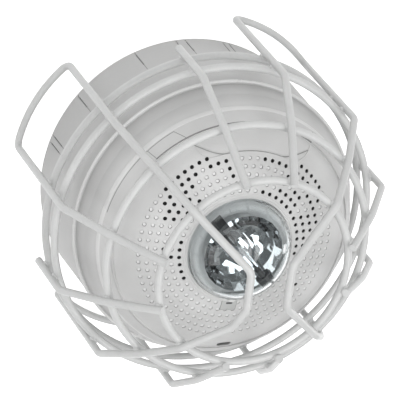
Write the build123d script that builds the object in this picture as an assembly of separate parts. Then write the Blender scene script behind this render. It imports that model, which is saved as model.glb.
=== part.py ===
from build123d import *
import math
import os

# Ceiling sounder and flashing light in its back box, under a cage of welded wire.
# Millimetres. The back of the box lies in the plane z = 0 and +Z points out of the front.
# Angles are in degrees, counter-clockwise seen from the front, with the four feet on the axes.

# Guard wire
wire_diameter = 4.3
weld_sink = 0.2
foot_radius = 103.0
foot_half_angle = 15.7
shoulder_radius = 95.0
shoulder_height = 85.5
mid_radius = 76.3
mid_height = 110.4
front_radius = 54.5
front_height = 133.3
ring_1_height = 55.5
ring_2_height = 71.0
ring_4_setback = 1.0
short_rib_foot_height = 48.0
short_rib_angles = (45.0, 133.5, 225.0, 319.0)
rib_overrun = 3.0
foot_bend = 5.0
foot_arc_bend = 84.0
shoulder_bend = 8.0
mid_bend = 60.0
front_bend = 8.0
# Corners of the long wires over the lens: radius, degrees from the leg, height and bend
left_first_corners = ((14.0, 0.0, 146.0, 7.0),)
left_last_corners = ((15.0, 4.2, 146.0, 7.0), (27.0, 12.7, 142.0, 10.0))
right_corners = ((17.0, 0.0, 146.0, 7.0),)

# Place of the sounder under the guard, and the turn of its screws, slots and entries
fixture_x = 1.9
fixture_y = 1.0
fixture_angle = 120.0

# Back box
box_back_radius = 87.6
box_front_radius = 82.0
box_height = 64.7
box_wall = 2.4
box_floor = 3.0
box_back_edge = 2.0
box_lip_edge = 0.8
box_post_radius = 5.0
box_post_circle = 71.0
box_post_count = 4
wire_entry_radius = 14.0
conduit_radius = 10.3
conduit_circle = 48.0
fixing_slot_width = 5.0
fixing_slot_length = 14.0
fixing_slot_spacing_x = 83.3
fixing_slot_spacing_y = 60.3
mould_line_angles = (106.2, 108.9, 124.1, 127.8, 144.3, 171.0, 188.8, 191.6)
mould_line_width = 0.7
mould_line_depth = 0.5
mould_line_start = 3.5
mould_line_length = 17.0

# Mounting plate inside the mouth of the box
plate_thickness = 2.5
plate_seat_depth = 7.2
plate_hole_radius = 60.0
plate_clearance = 0.5

# Cover with grille: a crown that is part of a ball, rounded over into an upright skirt
cover_wall = 2.4
cover_clearance = 0.3
crown_radius = 200.0
side_radius = 31.0
bezel_radius = 29.4
well_depth = 2.0
well_opening_radius = 19.0
rim_slot_angle = -59.0
rim_slot_circle = 65.0
rim_slot_length = 8.5
rim_slot_width = 3.0

# Raised rim band, the groove inside it, and the smooth panel that is let in beside the grille
rim_band_radius = 73.6
rim_band_rise = 0.5
groove_circle = 67.2
groove_width = 1.0
panel_inner_radius = 54.3
panel_start = 84.0
panel_end = 146.0
panel_corner = 9.5
panel_depth = 0.4
panel_margin = 6.0

# Perforations, left out of the last circle beside the smooth panel
hole_diameter = 2.2
hole_first_circle = 33.8
hole_circle_step = 4.23
hole_circles = 6
hole_sectors = 6
holes_per_sector = 8
hole_start_angle = 27.5

# Lens, reflector and lamp
lens_height = 20.0
lens_wall = 1.6
lens_clearance = 0.3
lamp_angle = -18.0
reflector_radius = 22.0
reflector_foot_radius = 20.5
reflector_depth = 8.0
reflector_floor = 1.0
bowl_radius = 10.0
bowl_stretch = 1.5
bowl_offset = 10.6
tube_diameter = 4.0
tube_length = 36.0
tube_rise = 2.2
socket_depth = 5.0
socket_width = 8.0
socket_height = 10.6

# Lamp board and its capacitor
board_thickness = 1.6
board_radius = 23.0
capacitor_diameter = 13.0
capacitor_length = 8.5

# Loudspeaker
speaker_flange_radius = 53.0
speaker_front_height = 80.0
speaker_depth = 34.0
speaker_wall = 1.2
speaker_neck_radius = 22.0
speaker_edge_radius = 46.0
speaker_screw_circle = 49.5
speaker_window_count = 4
window_width = 20.0
window_height = 16.0
cone_edge_radius = 38.0
cone_depth = 20.0
cone_thickness = 0.8
surround_thickness = 0.8
surround_roll = 3.0
surround_lip = 1.2
dust_cap_rise = 4.0
coil_radius = 12.5
coil_wall = 0.7
coil_length = 17.0
coil_gap = 0.5
magnet_radius = 30.0
magnet_thickness = 13.0
pole_plate_radius = 28.0
pole_plate_thickness = 4.0
pole_radius = 11.5

# Transformer and terminals behind the loudspeaker
transformer_length = 24.0
transformer_width = 18.0
transformer_height = 20.0
coil_bulge = 3.0
transformer_circle = 47.0
terminal_length = 36.0
terminal_width = 12.0
terminal_height = 11.0
terminal_ways = 6
terminal_mouth = 3.4

# Screws and their bosses
screw_head_radius = 2.9
screw_head_height = 1.8
screw_radius = 1.5
screw_length = 8.0
screw_clearance = 0.3
boss_radius = 3.4

# Gap left between pieces that seat on each other
seat_gap = 0.2

ON_TOP = (Align.CENTER, Align.CENTER, Align.MIN)
BELOW = (Align.CENTER, Align.CENTER, Align.MAX)


def polar(radius, angle, height):
    """Point at a radius, an angle in degrees and a height."""
    a = math.radians(angle)
    return (radius * math.cos(a), radius * math.sin(a), height)


def radius_between(low, high, height):
    """Radius on the straight line between two (radius, height) points."""
    share = (height - low[1]) / (high[1] - low[1])
    return low[0] + share * (high[0] - low[0])


def ring_of(count, radius, start=0.0):
    """Places evenly spaced on a circle."""
    return [Pos(*polar(radius, start + 360 / count * i, 0)) for i in range(count)]


def lathe(*points):
    """Solid turned about Z from a closed outline of (radius, height) points."""
    return revolve(Plane.XZ * make_face(Polyline(*points, close=True)), axis=Axis.Z)


def disc(radius, height, thickness):
    """Flat round solid that stands at a height."""
    return Pos(0, 0, height) * Cylinder(radius, thickness, align=ON_TOP)


# Values worked out from the sizes above
wire_radius = wire_diameter / 2
weld_spacing = wire_diameter - weld_sink
box_back = (box_back_radius, box_back_edge)
box_mouth = (box_front_radius, box_height)
post_start = fixture_angle - 45
plate_seat = box_height - plate_seat_depth
plate_top = plate_seat + plate_thickness
plate_radius = radius_between(box_back, box_mouth, plate_seat) - box_wall - plate_clearance
cover_skirt_radius = box_front_radius - box_wall - cover_clearance
cover_foot = plate_top + seat_gap
side_centre = cover_skirt_radius - side_radius
crown_lean = math.asin(side_centre / (crown_radius - side_radius))
crown_centre = box_height - (crown_radius - side_radius) * math.cos(crown_lean)
crown_edge = crown_radius * math.sin(crown_lean)
bezel_height = crown_centre + math.sqrt(crown_radius ** 2 - bezel_radius ** 2)
well_floor = bezel_height - well_depth
reflector_foot = well_floor + seat_gap
reflector_rim_height = reflector_foot + reflector_depth
tube_height = reflector_rim_height + tube_rise
board_top = well_floor - cover_wall - seat_gap
speaker_back = speaker_front_height - speaker_depth
flange_top = speaker_front_height + speaker_wall
cone_top = flange_top - cone_thickness
cone_bottom = cone_top - cone_depth
cone_neck = cone_bottom + 2 * cone_thickness
magnet_top = speaker_back - pole_plate_thickness
magnet_bottom = magnet_top - magnet_thickness

# Guard: each rib leaves its foot, leans in to a shoulder and slopes in to the front ring.

foot_point = (foot_radius, wire_radius)
shoulder_point = (shoulder_radius, shoulder_height)
mid_point = (mid_radius, mid_height)
front_point = (front_radius, front_height)


def bent_wire(points, radii):
    """Round wire along straight runs that are joined by bends."""
    path = FilletPolyline(*points, radius=radii)
    section = Plane(origin=path @ 0, z_dir=path % 0) * Circle(wire_radius)
    return sweep(section, path=path)


def rib_points(angle):
    """Corner points of a rib from the front ring down to its shoulder."""
    return [polar(r, angle, z) for r, z in (front_point, mid_point, shoulder_point)]


def rib_end(angle):
    """End of a rib, just past the middle of the front ring."""
    lean = math.atan2(front_height - mid_height, mid_radius - front_radius)
    return polar(front_radius - rib_overrun * math.cos(lean), angle,
                 front_height + rib_overrun * math.sin(lean))


def foot_points(middle, step):
    """Two corners of a foot and the point that its arc bends round."""
    arc_point = foot_radius / math.cos(math.radians(foot_half_angle))
    return [
        polar(foot_radius, middle - step * foot_half_angle, wire_radius),
        polar(arc_point, middle, wire_radius),
        polar(foot_radius, middle + step * foot_half_angle, wire_radius),
    ]


def foot_wire(first_foot, second_foot, first_corners, last_corners):
    """One long wire that makes two feet and crosses the front between them."""
    outer_1 = first_foot + foot_half_angle
    inner_1 = first_foot - foot_half_angle
    inner_2 = second_foot - foot_half_angle
    outer_2 = second_foot + foot_half_angle
    points = [rib_end(outer_1)] + rib_points(outer_1)[1:]
    points += foot_points(first_foot, -1)
    points += rib_points(inner_1)[::-1]
    points += [polar(r, inner_1 + turn, z) for r, turn, z, _ in first_corners]
    points += [polar(r, inner_2 + turn, z) for r, turn, z, _ in last_corners]
    points += rib_points(inner_2)
    points += foot_points(second_foot, 1)
    points += rib_points(outer_2)[:0:-1] + [rib_end(outer_2)]
    down = [mid_bend, shoulder_bend]
    foot = [foot_bend, foot_arc_bend, foot_bend]
    leg_pair = down + foot + down[::-1]
    peaks = [bend for _, _, _, bend in first_corners + last_corners]
    return bent_wire(points, leg_pair + [front_bend] + peaks + [front_bend] + leg_pair)


def short_rib(angle):
    """Rib between two feet, with a free end behind the lowest ring."""
    foot = polar(radius_between(foot_point, shoulder_point, short_rib_foot_height), angle,
                 short_rib_foot_height)
    return bent_wire([rib_end(angle)] + rib_points(angle)[1:] + [foot], [mid_bend, shoulder_bend])


def side_ring(height):
    """Centre of a ring welded inside the straight sides of the ribs."""
    run = foot_point[0] - shoulder_point[0]
    rise = shoulder_point[1] - foot_point[1]
    gap = weld_spacing * math.hypot(run, rise) / rise
    return (radius_between(foot_point, shoulder_point, height) - gap, height)


def slope_ring(point, setback):
    """Centre of a ring welded inside the slope of the ribs, set back down it from a point."""
    run = mid_radius - front_radius
    rise = front_height - mid_height
    length = math.hypot(run, rise)
    return (point[0] + (setback * run - weld_spacing * rise) / length,
            point[1] - (setback * rise + weld_spacing * run) / length)


def make_guard():
    """The cage: two long foot wires, four short ribs, and the four rings welded inside them."""
    guard = {
        "foot_wire_left": foot_wire(180, 270, left_first_corners, left_last_corners),
        "foot_wire_right": foot_wire(90, 0, right_corners, right_corners),
    }
    for number, angle in enumerate(short_rib_angles):
        guard[f"short_rib_{number + 1}"] = short_rib(angle)
    rings = {
        "ring_1_lowest": side_ring(ring_1_height),
        "ring_2_side": side_ring(ring_2_height),
        "ring_3_slope": slope_ring(mid_point, 0),
        "ring_4_front": slope_ring(front_point, ring_4_setback),
    }
    for name, (radius, height) in rings.items():
        guard[name] = Pos(0, 0, height) * Torus(radius, wire_radius)
    return guard


# Back box and mounting plate

def box_radius(height):
    """Outer radius of the tapered box wall at a height."""
    return radius_between(box_back, box_mouth, height)


def mould_line(angle):
    """Shallow groove along the skirt of the box."""
    middle = mould_line_start + mould_line_length / 2
    lean = math.atan2(box_back_radius - box_front_radius, box_height - box_back_edge)
    bar = Box(2 * mould_line_depth, mould_line_width, mould_line_length)
    place = Pos(box_radius(middle), 0, middle) * Rot(0, -math.degrees(lean), 0)
    return Rot(0, 0, angle) * place * bar


def make_back_box():
    """Moulded round box, open at the front, with posts for the plate and slots in its back."""
    box = lathe(
        (0, 0), (box_back_radius - box_back_edge, 0), (box_back_radius, box_back_edge),
        (box_radius(box_height - box_lip_edge), box_height - box_lip_edge),
        (box_front_radius - box_lip_edge, box_height), (box_front_radius - box_wall, box_height),
        (box_radius(box_floor) - box_wall, box_floor), (0, box_floor),
    )
    post = disc(box_post_radius, box_floor, plate_seat - box_floor)
    pilot = disc(screw_radius, plate_seat - screw_length, screw_length)
    places = ring_of(box_post_count, box_post_circle, post_start)
    box = box + [p * post for p in places] - [p * pilot for p in places]
    through = 3 * box_floor
    box -= Cylinder(wire_entry_radius, through)
    box -= Pos(*polar(conduit_circle, fixture_angle, 0)) * Cylinder(conduit_radius, through)
    slot = extrude(SlotOverall(fixing_slot_length, fixing_slot_width), through, both=True)
    for side in (-1, 1):
        box -= Pos(side * fixing_slot_spacing_x / 2, 0, 0) * slot
        box -= Pos(0, side * fixing_slot_spacing_y / 2, 0) * Rot(0, 0, 90) * slot
    return box - [mould_line(angle) for angle in mould_line_angles]


def pan_screw(length):
    """Screw with a low round head, its seat at z = 0 and its shank below."""
    head = Cylinder(screw_head_radius, screw_head_height, align=ON_TOP)
    head = chamfer(head.edges().group_by(Axis.Z)[-1], screw_head_height / 3)
    recess = Pos(0, 0, screw_head_height) * Box(
        screw_head_radius, screw_radius / 2, screw_head_height)
    shank = Cylinder(screw_radius, length, align=BELOW)
    return head - recess - Rot(0, 0, 90) * recess + shank


def make_mounting_plate():
    """Ring plate on the posts of the box, which the cover seats on."""
    plate = disc(plate_radius, plate_seat, plate_thickness)
    plate -= disc(plate_hole_radius, plate_seat, plate_thickness)
    hole = disc(screw_radius + screw_clearance, plate_seat, plate_thickness)
    return plate - [p * hole for p in ring_of(box_post_count, box_post_circle, post_start)]


def make_plate_screws():
    """The screws that hold the plate on the posts of the box."""
    screw = Pos(0, 0, plate_top) * pan_screw(screw_length - screw_clearance)
    places = ring_of(box_post_count, box_post_circle, post_start)
    return Compound([(p * screw).solid() for p in places])


# Cover with grille

def cover_height(radius):
    """Height of the outer face of the cover at a radius."""
    if radius < crown_edge:
        return crown_centre + math.sqrt(crown_radius ** 2 - radius ** 2)
    return box_height + math.sqrt(side_radius ** 2 - (radius - side_centre) ** 2)


def side_point(depth, turn):
    """Point of the rounded side at a depth in its wall, and a turn up from level."""
    reach = side_radius - depth
    return (side_centre + reach * math.cos(turn), box_height + reach * math.sin(turn))


def crown_point(depth, radius):
    """Point of the crown at a depth in its wall and a radius."""
    return (radius, crown_centre + math.sqrt((crown_radius - depth) ** 2 - radius ** 2))


def cover_section():
    """Section of the cover: skirt, rounded side, crown, and the well that holds the lens."""
    inner_skirt = cover_skirt_radius - cover_wall
    well_outside = bezel_radius + cover_wall
    low_floor = well_floor - cover_wall
    turn = math.pi / 2 - crown_lean
    outer_edge, inner_edge = side_point(0, turn), side_point(cover_wall, turn)
    bezel_edge = crown_point(0, bezel_radius)
    well_edge = crown_point(cover_wall, well_outside)
    edges = [
        Line((cover_skirt_radius, cover_foot), (cover_skirt_radius, box_height)),
        ThreePointArc((cover_skirt_radius, box_height), side_point(0, turn / 2), outer_edge),
        ThreePointArc(outer_edge, crown_point(0, (bezel_radius + crown_edge) / 2), bezel_edge),
        Line(bezel_edge, (bezel_radius, well_floor)),
        Line((bezel_radius, well_floor), (well_opening_radius, well_floor)),
        Line((well_opening_radius, well_floor), (well_opening_radius, low_floor)),
        Line((well_opening_radius, low_floor), (well_outside, low_floor)),
        Line((well_outside, low_floor), well_edge),
        ThreePointArc(well_edge, crown_point(cover_wall, (well_outside + inner_edge[0]) / 2),
                      inner_edge),
        ThreePointArc(inner_edge, side_point(cover_wall, turn / 2), (inner_skirt, box_height)),
        Line((inner_skirt, box_height), (inner_skirt, cover_foot)),
        Line((inner_skirt, cover_foot), (cover_skirt_radius, cover_foot)),
    ]
    return make_face(Wire(edges))


def dome(depth):
    """Solid under the face of the cover, let down by a depth into its wall."""
    turn = math.pi / 2 - crown_lean
    foot, edge = side_point(depth, 0), side_point(depth, turn)
    top = crown_point(depth, bezel_radius)
    edges = [
        ThreePointArc(foot, side_point(depth, turn / 2), edge),
        ThreePointArc(edge, crown_point(depth, (bezel_radius + edge[0]) / 2), top),
        Line(top, (bezel_radius, box_height)),
        Line((bezel_radius, box_height), foot),
    ]
    return revolve(Plane.XZ * make_face(Wire(edges)), axis=Axis.Z)


def rim_band():
    """Raised ring that runs round the side of the cover, outside the groove."""
    height = crown_radius + crown_centre - box_height
    inside = groove_circle + groove_width
    ring = disc(rim_band_radius, box_height, height) - disc(inside, box_height, height)
    return ring & (dome(-rim_band_rise) - dome(cover_wall / 2))


def panel_recess():
    """Shallow recess of the smooth panel, from the grille out to the groove."""
    turn = panel_end - panel_start
    inner = CenterArc((0, 0), panel_inner_radius, panel_start, turn)
    outer = CenterArc((0, 0), groove_circle, panel_start, turn)
    panel = make_face(Wire([inner, Line(inner @ 1, outer @ 1), outer, Line(outer @ 0, inner @ 0)]))
    corners = sorted(panel.vertices(), key=lambda v: math.hypot(v.X, v.Y))[:2]
    panel = Pos(0, 0, box_height) * fillet(corners, panel_corner)
    return extrude(panel, crown_radius + crown_centre - box_height) & (dome(0) - dome(panel_depth))


def make_perforations():
    """Round holes square to the crown, in circles that line up once in each sector."""
    hole = Pos(0, 0, crown_radius) * Cylinder(hole_diameter / 2, 3 * cover_wall)
    holes = []
    for circle in range(hole_circles):
        radius = hole_first_circle + hole_circle_step * circle
        lean = math.degrees(math.asin(radius / crown_radius))
        count = hole_sectors * (holes_per_sector + circle)
        for i in range(count):
            angle = (hole_start_angle + 360 / count * i) % 360
            beside_panel = panel_start + panel_margin < angle < panel_end - panel_margin
            if circle < hole_circles - 1 or not beside_panel:
                holes.append(Pos(0, 0, crown_centre) * Rot(0, 0, angle) * Rot(0, lean, 0) * hole)
    return holes


def make_cover():
    """Moulded cover: domed grille, rim band, smooth panel, lens well and speaker bosses."""
    cover = revolve(Plane.XZ * cover_section(), axis=Axis.Z) + rim_band() - panel_recess()
    cover -= Pos(0, 0, cover_height(groove_circle)) * Torus(groove_circle, groove_width / 2)
    cover -= make_perforations()
    boss_top = cover_height(speaker_screw_circle) - cover_wall / 2
    boss = disc(boss_radius, flange_top, boss_top - flange_top)
    pilot = disc(screw_radius, flange_top, screw_length - 2 * speaker_wall)
    places = ring_of(4, speaker_screw_circle, post_start)
    cover = cover + [p * boss for p in places] - [p * pilot for p in places]
    slot = extrude(SlotOverall(rim_slot_length, rim_slot_width), 2 * cover_wall, both=True)
    slot_place = Pos(*polar(rim_slot_circle, rim_slot_angle, cover_height(rim_slot_circle)))
    return cover - slot_place * Rot(0, 0, rim_slot_angle + 90) * slot


# Lens, reflector and lamp

def half_ellipsoid(radius, rise, height):
    """Upper half of a flattened ball that stands at a height."""
    ball = scale(Sphere(radius), by=(1, 1, rise / radius))
    return Pos(0, 0, height) * (ball & Box(2 * radius, 2 * radius, 2 * radius, align=ON_TOP))


def make_lens():
    """Clear domed lens, half an ellipsoid on a short rim that stands on the floor of its well."""
    radius = bezel_radius - lens_clearance
    inner = radius - lens_wall
    rim_depth = bezel_height - well_floor
    outside = half_ellipsoid(radius, lens_height, bezel_height)
    hollow = half_ellipsoid(inner, lens_height - lens_wall, bezel_height)
    return outside + disc(radius, well_floor, rim_depth) - hollow - disc(
        inner, well_floor, rim_depth)


def make_reflector():
    """Bright reflector with two bowls and a ridge between them under the lamp tube."""
    body = lathe((0, reflector_foot), (reflector_foot_radius, reflector_foot),
                 (reflector_radius, reflector_rim_height), (0, reflector_rim_height))
    depth = reflector_rim_height - reflector_foot - reflector_floor
    bowl = scale(Sphere(bowl_radius), by=(bowl_stretch, 1, depth / bowl_radius))
    for side in (-1, 1):
        body -= Rot(0, 0, lamp_angle) * Pos(0, side * bowl_offset, reflector_rim_height) * bowl
    notch = Box(reflector_radius, socket_width + 2 * seat_gap, 3 * depth,
                align=(Align.MIN, Align.CENTER, Align.CENTER))
    start = tube_length / 2
    for turn in (0, 180):
        body -= Rot(0, 0, lamp_angle + turn) * Pos(start, 0, reflector_rim_height) * notch
    return body


def make_flash_tube():
    """Sealed glass tube above the ridge of the reflector, its ends in the sockets."""
    tube = Cylinder(tube_diameter / 2, tube_length)
    tube = fillet(tube.edges(), tube_diameter / 4)
    return Rot(0, 0, lamp_angle) * Pos(0, 0, tube_height) * Rot(0, 90, 0) * tube


def make_sockets():
    """The two blocks at the ends of the lamp tube, standing on the floor of the well."""
    block = Pos(tube_length / 2 + seat_gap, 0, reflector_foot) * Box(
        socket_depth, socket_width, socket_height, align=(Align.MIN, Align.CENTER, Align.MIN))
    return Compound([(Rot(0, 0, lamp_angle + turn) * block).solid() for turn in (0, 180)])


def make_lamp_board():
    """Round circuit board under the floor of the lens well."""
    return disc(board_radius, board_top - board_thickness, board_thickness)


def make_capacitor():
    """Storage capacitor that hangs under the board."""
    can = Cylinder(capacitor_diameter / 2, capacitor_length, align=BELOW)
    can = fillet(can.edges().group_by(Axis.Z)[0], 1.0)
    return Pos(0, 0, board_top - board_thickness) * can


# Loudspeaker, hung from the bosses of the cover

def make_speaker_frame():
    """Pressed basket with a flat flange, windows in its cone and a flat back."""
    wall = speaker_wall
    basket = lathe(
        (coil_radius + coil_gap, speaker_back), (speaker_neck_radius, speaker_back),
        (speaker_edge_radius, speaker_front_height), (speaker_flange_radius, speaker_front_height),
        (speaker_flange_radius, flange_top), (speaker_edge_radius - wall, flange_top),
        (speaker_neck_radius - wall, speaker_back + wall),
        (coil_radius + coil_gap, speaker_back + wall),
    )
    middle = (speaker_neck_radius + speaker_edge_radius) / 2
    window = Pos(middle, 0, (speaker_back + speaker_front_height) / 2) * Box(
        speaker_edge_radius - speaker_neck_radius, window_width, window_height)
    hole = disc(screw_radius + screw_clearance, speaker_front_height, wall)
    places = ring_of(4, speaker_screw_circle, post_start)
    step = 360 / speaker_window_count
    basket -= [Rot(0, 0, fixture_angle + step * i) * window for i in range(speaker_window_count)]
    return basket - [p * hole for p in places]


def make_speaker_screws():
    """The screws that hold the basket on the bosses of the cover, heads to the back."""
    screw = Pos(0, 0, speaker_front_height) * Rot(180, 0, 0) * pan_screw(
        screw_length - speaker_wall - screw_clearance)
    return Compound([(p * screw).solid() for p in ring_of(4, speaker_screw_circle, post_start)])


def make_speaker_cone():
    """Paper cone from the surround down to the voice coil."""
    t = cone_thickness
    return lathe((coil_radius, cone_bottom), (cone_edge_radius, cone_top),
                 (cone_edge_radius, cone_top + t), (coil_radius, cone_neck))


def make_surround():
    """Rolled edge between the cone and the flange of the basket."""
    t = surround_thickness
    inner = cone_edge_radius
    outer = speaker_edge_radius - speaker_wall
    middle = (inner + outer) / 2
    low = flange_top
    edges = [
        Line((inner - surround_lip, low), (inner, low)),
        ThreePointArc((inner, low), (middle, low + surround_roll), (outer, low)),
        Line((outer, low), (outer + surround_lip, low)),
        Line((outer + surround_lip, low), (outer + surround_lip, low + t)),
        Line((outer + surround_lip, low + t), (outer + t, low + t)),
        ThreePointArc((outer + t, low + t), (middle, low + surround_roll + t),
                      (inner - t, low + t)),
        Line((inner - t, low + t), (inner - surround_lip, low + t)),
        Line((inner - surround_lip, low + t), (inner - surround_lip, low)),
    ]
    return revolve(Plane.XZ * make_face(Wire(edges)), axis=Axis.Z)


def make_dust_cap():
    """Small domed cap on the neck of the cone."""
    ball = (coil_radius ** 2 + dust_cap_rise ** 2) / (2 * dust_cap_rise)
    shell = Sphere(ball) - Sphere(ball - cone_thickness)
    shell = Pos(0, 0, cone_neck + dust_cap_rise - ball) * shell
    return shell & disc(coil_radius, cone_neck, dust_cap_rise)


def make_voice_coil():
    """Thin tube from the neck of the cone into the gap of the magnet."""
    coil = disc(coil_radius, cone_neck - coil_length, coil_length)
    return coil - disc(coil_radius - coil_wall, cone_neck - coil_length, coil_length)


def make_front_plate():
    """Steel ring plate between the basket and the magnet."""
    plate = disc(pole_plate_radius, magnet_top, pole_plate_thickness)
    return plate - disc(coil_radius + coil_gap, magnet_top, pole_plate_thickness)


def make_magnet():
    """Ferrite ring magnet."""
    ring = disc(magnet_radius, magnet_bottom, magnet_thickness)
    return ring - disc(coil_radius + 2 * coil_gap, magnet_bottom, magnet_thickness)


def make_pole_piece():
    """Back plate and centre pole, turned as one."""
    low = magnet_bottom - pole_plate_thickness
    pole = disc(pole_radius, low, speaker_back - low)
    return disc(pole_plate_radius, low, pole_plate_thickness) + pole


# Transformer and terminals on the floor of the box

def make_transformer():
    """Small line transformer: laminated core with its coil through it."""
    core = Box(transformer_length, transformer_width, transformer_height, align=ON_TOP)
    coil = Box(transformer_length / 2, transformer_width + 2 * coil_bulge, transformer_height / 2)
    coil = Pos(0, 0, transformer_height / 2) * fillet(coil.edges().filter_by(Axis.X), coil_bulge / 2)
    place = Pos(*polar(transformer_circle, fixture_angle + 180, box_floor))
    return place * Rot(0, 0, fixture_angle + 90) * (core + coil)


def make_terminal_block():
    """Row of screw terminals with a mouth for each wire."""
    block = Box(terminal_length, terminal_width, terminal_height, align=ON_TOP)
    pitch = terminal_length / terminal_ways
    for i in range(terminal_ways):
        x = (i + 0.5) * pitch - terminal_length / 2
        block -= Pos(x, -terminal_width / 2, terminal_height / 3) * Box(
            terminal_mouth, terminal_width, terminal_mouth)
        block -= Pos(x, 0, terminal_height) * Cylinder(terminal_mouth / 2, terminal_height / 2)
    place = Pos(*polar(transformer_circle, fixture_angle - 90, box_floor))
    return place * Rot(0, 0, fixture_angle + 180) * block


os.makedirs("parts", exist_ok=True)
nodes = {
    "back_box": make_back_box(),
    "mounting_plate": make_mounting_plate(),
    "plate_screws": make_plate_screws(),
    "grille_cover": make_cover(),
    "lens_dome": make_lens(),
    "reflector": make_reflector(),
    "flash_tube": make_flash_tube(),
    "tube_sockets": make_sockets(),
    "lamp_board": make_lamp_board(),
    "storage_capacitor": make_capacitor(),
    "speaker_frame": make_speaker_frame(),
    "speaker_screws": make_speaker_screws(),
    "speaker_cone": make_speaker_cone(),
    "cone_surround": make_surround(),
    "dust_cap": make_dust_cap(),
    "voice_coil": make_voice_coil(),
    "magnet_front_plate": make_front_plate(),
    "ring_magnet": make_magnet(),
    "pole_piece": make_pole_piece(),
    "line_transformer": make_transformer(),
    "terminal_block": make_terminal_block(),
}
under_guard = Pos(fixture_x, fixture_y, 0)
nodes = {name: under_guard * solid for name, solid in nodes.items()}
nodes.update(make_guard())
for name, solid in nodes.items():
    export_step(solid, f"parts/{name}.step")
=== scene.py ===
import math

import bmesh
import bpy
from mathutils import Matrix, Vector


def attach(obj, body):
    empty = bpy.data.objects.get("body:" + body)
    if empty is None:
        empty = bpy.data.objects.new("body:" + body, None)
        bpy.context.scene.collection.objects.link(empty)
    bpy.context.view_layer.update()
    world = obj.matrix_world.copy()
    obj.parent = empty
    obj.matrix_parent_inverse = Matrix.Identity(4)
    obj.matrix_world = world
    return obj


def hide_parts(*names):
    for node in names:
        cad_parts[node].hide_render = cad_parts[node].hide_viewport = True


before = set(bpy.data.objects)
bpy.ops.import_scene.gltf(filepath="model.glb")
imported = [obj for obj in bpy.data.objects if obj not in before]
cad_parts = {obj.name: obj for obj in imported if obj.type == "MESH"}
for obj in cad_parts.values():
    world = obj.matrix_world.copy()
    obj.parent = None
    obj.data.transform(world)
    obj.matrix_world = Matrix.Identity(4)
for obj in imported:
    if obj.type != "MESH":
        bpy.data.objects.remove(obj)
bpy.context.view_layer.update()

# Looks of the ceiling sounder with its flashing light, under a cage of coated wire.
# Sizes are in millimetres until a mesh is made, and MM turns them into metres.

MM = 0.001

# Camera, from the fit of the photograph
camera_place = (-321.847, 120.010, 605.360)
camera_right = (0.77245841, 0.54570703, 0.32482586)
camera_down = (0.40875261, -0.81868059, 0.40334031)
camera_forward = (0.48603427, -0.17879019, -0.85545587)
camera_lens = 102.42
camera_sensor = 36.0
camera_clip = (0.01, 50.0)

# Lamps: place and width in metres and power in watts, all turned to one point
lamp_target = (0, 0, 0.08)
lamps = {
    "key": ((0.327, -0.015, 1.258), 0.8, 6.2),
    "front": ((-0.632, 0.233, 1.112), 0.8, 2.9),
    "low_left": ((-0.682, -0.728, 0.833), 0.8, 3.0),
    "high_right": ((-0.207, 1.055, 0.731), 0.8, 1.9),
    "window": ((1.27, 0.3, 0.13), 0.25, 1.1),
}

# Surroundings as they light the object and as bright metal mirrors them, and the white floor
world_level = 0.37
world_level_in_gloss = 0.15
floor_half_width = 3.0
floor_white = 0.9
floor_roughness = 0.9
floor_glow = 0.8

# Guard wire, with its points given as (radius, height) and its feet by the angle of their middle
wire_radius = 2.15
coat_variation = 0.14
coat_scale = 150.0
wire_step = 0.9
wire_sides = 18
bend_steps = 10
weld_spacing = 4.1
weld_size = (2.7, 2.5, 1.75)
left_feet = (180, 270)
right_feet = (90, 0)
foot_radius = 103.0
foot_half_angle = 15.7
foot_point = (foot_radius, wire_radius)
shoulder_point = (95.0, 85.5)
mid_point = (76.3, 110.4)
front_point = (54.5, 133.3)
ring_heights = (55.5, 71.0)
front_ring_setback = 1.0
short_rib_foot_height = 48.0
short_rib_angles = (45.0, 133.5, 225.0, 319.0)
rib_overrun = 3.0
ring_points = 160

# Radii of the bends in the wire
foot_bend = 5.0
foot_arc_bend = 84.0
shoulder_bend = 8.0
mid_bend = 60.0
front_bend = 8.0

# Corners of the long wires in front of the lens: radius, turn from the leg, height and bend
left_first_corners = ((14.0, 0.0, 146.0, 7.0),)
left_last_corners = ((15.0, 4.2, 146.0, 7.0), (27.0, 12.7, 142.0, 10.0))
right_corners = ((17.0, 0.0, 146.0, 7.0),)

# Box and cover of the sounder, with points given as (radius, height)
fixture_place = (1.9, 1.0)
box_foot = (87.6, 2.0)
box_mouth = (82.0, 64.7)
cover_reach = 79.3
crown_radius = 200.0
side_radius = 31.0
side_centre = cover_reach - side_radius
crown_centre = box_mouth[1] - math.sqrt((crown_radius - side_radius) ** 2 - side_centre ** 2)
crown_edge = side_centre * crown_radius / (crown_radius - side_radius)
bezel_radius = 29.4
bezel_height = crown_centre + math.sqrt(crown_radius ** 2 - bezel_radius ** 2)
well_depth = 2.0
well_floor = bezel_height - well_depth
lip_place = (82.2, 63.8)
lip_radius = 0.85
skirt_outline = ((77.9, 73.6), (78.5, 72.4), (79.3, 70.3), (80.1, 67.8), (80.8, 65.6), (81.0, 64.8),
                 (80.9, 64.3), (79.2, 64.3))
slope_step = 0.05

# Heights between which painted shade darkens the cover, and how dark it is at the lower one
painted_shade_heights = (65.0, 79.5)
painted_shade_lowest = 0.72

# Beads on the cover (radius, half width and rise), and the band between the rim and the groove
rim_bead = (73.6, 0.8, 1.0)
bezel_bead = (31.2, 0.9, 0.3)
bead_root = 0.6
bead_steps = 10
lip_steps = 16
groove_circle = 67.2
band_rise = 0.5

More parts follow.
